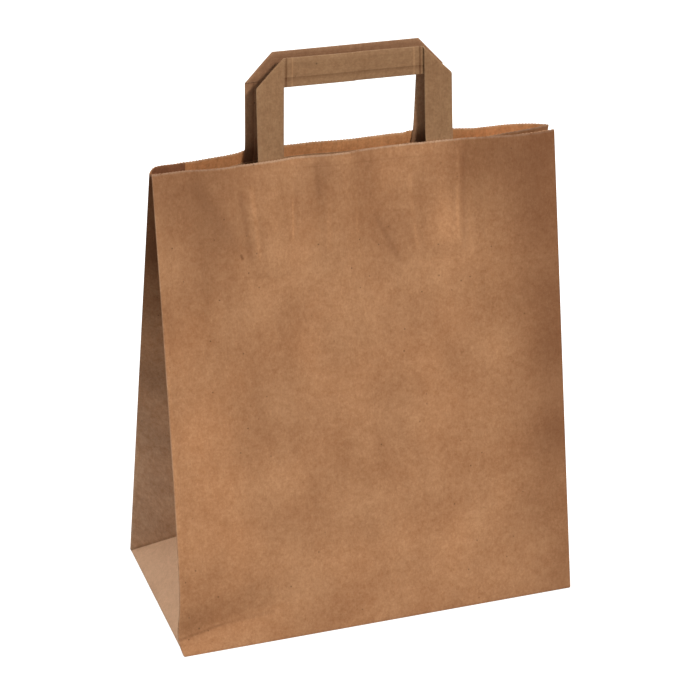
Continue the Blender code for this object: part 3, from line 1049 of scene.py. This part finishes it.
def glued_patch(name, handle, node, finish):
    side = handle["side"]
    low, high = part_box(node)
    patch = add_grid(*PATCH_CELLS)
    patch.name = name
    for vert in patch.data.vertices:
        x = low.x + (high.x - low.x) * (vert.co.x + 0.5)
        up = PATCH_TOP + PATCH_LENGTH * (vert.co.y - 0.5)
        depth = PAPER + LEG_GAP + (STRIP + LEG_GAP) * leg_cover(handle, x, up - PANEL_LENGTH)
        vert.co = panel_point(side, x, up, buckle(side, x, up) - depth)
    patch.data.materials.append(finish)
    patch.data.materials.append(cut_kraft)
    inwards = -1 if patch.data.polygons[0].normal.y * side > 0 else 1
    apply_modifier(patch, "SOLIDIFY", thickness=PAPER, offset=inwards, material_offset_rim=1)
    pick(patch, "FACE", lambda face: True)
    bpy.ops.mesh.normals_make_consistent(inside=False)
    bpy.ops.object.mode_set(mode="OBJECT")
    bpy.ops.object.shade_smooth_by_angle(angle=SMOOTH_TAPE)
    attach(patch, "root")
    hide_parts(node)


patch_kraft = kraft("kraft_patch", (0.47, 0.265, 0.135), (0.42, 0.22, 0.11),
                    (0.62, 0.40, 0.24), 1.0, 0.25)
glued_patch("front_glued_patch", FRONT_HANDLE, "front_patch", patch_kraft)
glued_patch("rear_glued_patch", REAR_HANDLE, "rear_patch", patch_kraft)

# The floor and the lights. The bag stands on a white table. A warm lamp shines from in
# front, a little to the right, a cool one from above and a weaker warm one from behind, and
# the white room fills the shadows.
FLOOR_SIZE = 12.0
FLOOR_GLOW = 0.80
FLOOR_COLOR = (0.55, 0.55, 0.55, 1)
WHITE = (1, 1, 1, 1)

# Each lamp: name, turn and height in degrees, power, spread in degrees, colour
LAMPS = (("side_lamp", 15, 32, 1.80, 9, (1.0, 0.97, 0.93)),
         ("top_lamp", -80, 79, 1.6, 24, (0.95, 0.99, 1.0)),
         ("rear_lamp", 152, 28, 0.9, 24, (1.0, 0.97, 0.93)))
SKY_POWER = 0.31
SKY_COLOR = (0.94, 0.98, 1.0, 1)

bpy.ops.object.select_all(action="DESELECT")
bpy.ops.mesh.primitive_plane_add(size=FLOOR_SIZE)
floor = bpy.context.object
floor.name = "floor"
floor_finish = bpy.data.materials.new("floor")
floor_finish.use_nodes = True
floor_shader = floor_finish.node_tree.nodes["Principled BSDF"]
floor_shader.inputs["Base Color"].default_value = FLOOR_COLOR
floor_shader.inputs["Roughness"].default_value = 0.9
floor_shader.inputs["Specular IOR Level"].default_value = 0.1
floor_shader.inputs["Emission Color"].default_value = WHITE
glow = Wire(floor_finish.node_tree).node("LightPath", out="Is Camera Ray") * FLOOR_GLOW
floor_finish.node_tree.links.new(glow.socket, floor_shader.inputs["Emission Strength"])
floor.data.materials.append(floor_finish)

for name, turn, height, power, spread, tint in LAMPS:
    light = bpy.data.lights.new(name, "SUN")
    light.energy = power
    light.angle = math.radians(spread)
    light.color = tint
    lamp = bpy.data.objects.new(name, light)
    bpy.context.scene.collection.objects.link(lamp)
    lamp.rotation_euler = (math.radians(90 - height), 0, math.radians(turn))

world = bpy.data.worlds.new("studio")
bpy.context.scene.world = world
world.use_nodes = True
sky = Wire(world.node_tree)
rays = {name: sky.node("LightPath", out=name) for name in
        ("Is Camera Ray", "Is Glossy Ray", "Is Transmission Ray")}
seen = rays["Is Camera Ray"].math("MAXIMUM", rays["Is Glossy Ray"])
seen = seen.math("MAXIMUM", rays["Is Transmission Ray"])
strength = seen * (1 - SKY_POWER) + SKY_POWER
background = world.node_tree.nodes["Background"]
sky_color = sky.blend(SKY_COLOR, WHITE, seen)
world.node_tree.links.new(sky_color.socket, background.inputs["Color"])
world.node_tree.links.new(strength.socket, background.inputs["Strength"])

bpy.context.scene.view_settings.view_transform = "Standard"
